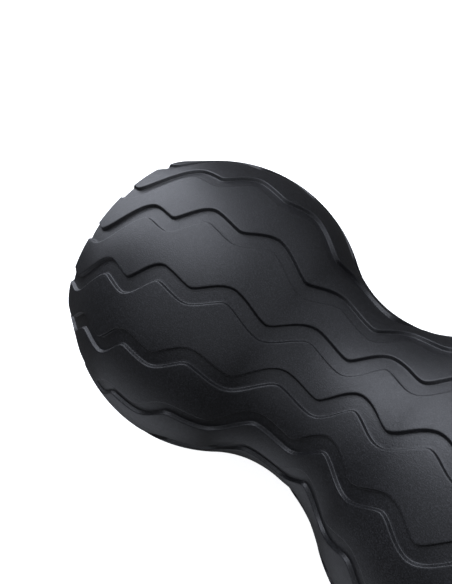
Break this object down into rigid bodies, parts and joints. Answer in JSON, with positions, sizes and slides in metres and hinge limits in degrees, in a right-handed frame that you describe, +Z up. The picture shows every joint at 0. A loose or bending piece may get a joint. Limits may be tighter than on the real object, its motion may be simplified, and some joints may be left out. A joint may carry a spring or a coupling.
{
  "type": "massage ball",
  "caption": "Two-lobed vibrating massage roller: a charcoal silicone sleeve with wavy treads over hard shells, with a motor, unbalanced weights, cells and a push button.",
  "frame": {"origin": "on the roller's axis, at the middle of the neck, which is the middle of its box", "axes": "+X runs along the roller from the plain end to the control end; +Z is up as it lies on its side; +Y completes the right-handed frame"},
  "size_m": [0.177, 0.091, 0.091],
  "materials": {
    "silicone": "satin moulded silicone, fine grain",
    "gasket_rubber": "matte rubber",
    "shell_plastic": "moulded glass-filled nylon",
    "cover_plastic": "fine spark-eroded texture",
    "button_rubber": "soft-touch",
    "switch_plastic": "moulded",
    "light_diffuser": "milky translucent",
    "led": "lamp lens",
    "circuit_board": "solder mask",
    "screw_steel": "zinc plated",
    "connector_plastic": "moulded nylon",
    "chip_epoxy": "moulded epoxy",
    "socket_steel": "stamped",
    "motor_steel": "plated sheet steel",
    "shaft_steel": "ground",
    "terminal_brass": "tinned",
    "bearing_bronze": "sintered, oiled",
    "magnet": "sintered ferrite",
    "carbon": "pressed carbon",
    "copper_wire": "enamelled",
    "copper_segments": "turned",
    "weight_steel": "sintered",
    "nickel": "nickel strip",
    "lead_insulation": "wire insulation",
    "cell_wrap": null
  },
  "bodies": {
    "roller": {"silicone_sleeve": "silicone", "end_cap_gasket": "gasket_rubber", "control_gasket": "gasket_rubber", "upper_shell": "shell_plastic", "lower_shell": "shell_plastic", "motor_cradle_lower": "shell_plastic", "motor_cradle_upper": "shell_plastic", "battery_holder_front": "shell_plastic", "battery_holder_rear": "shell_plastic", "brush_holder": "shell_plastic", "end_cap": "cover_plastic", "control_bezel": "cover_plastic", "tact_switch": "switch_plastic", "light_ring": "light_diffuser", "led_chips": "led", "control_board": "circuit_board", "main_board": "circuit_board", "control_board_screws": "screw_steel", "shell_screws": "screw_steel", "motor_screws": "screw_steel", "cradle_screws": "screw_steel", "main_board_screws": "screw_steel", "control_connector": "connector_plastic", "board_connectors": "connector_plastic", "board_chips": "chip_epoxy", "charge_socket": "socket_steel", "socket_tongue": "connector_plastic", "motor_can": "motor_steel", "motor_end_plate": "motor_steel", "motor_terminals": "terminal_brass", "front_bearing": "bearing_bronze", "rear_bearing": "bearing_bronze", "motor_magnets": "magnet", "motor_brushes": "carbon", "nickel_strips": "nickel", "motor_leads": "lead_insulation", "battery_leads": "lead_insulation", "control_leads": "lead_insulation", "battery_cell_1": "cell_wrap", "battery_cell_2": "cell_wrap", "battery_cell_3": "cell_wrap"},
    "rotor": {"motor_shaft": "shaft_steel", "armature_core": "motor_steel", "armature_windings": "copper_wire", "commutator": "copper_segments", "front_weight": "weight_steel", "rear_weight": "weight_steel", "grub_screws": "screw_steel"},
    "button": {"button_cap": "button_rubber", "switch_plunger": "switch_plastic"}
  },
  "joints": [
    {"name": "rotor_spin", "type": "hinge", "parent": "roller", "child": "rotor", "pos_m": [-0.042, 0, 0], "axis": [1, 0, 0], "continuous": true},
    {"name": "button_press", "type": "slide", "parent": "roller", "child": "button", "axis": [-1, 0, 0], "range_m": [0, 0.0008], "stiffness_N_per_m": 1500, "springref_m": -0.0004}
  ]
}
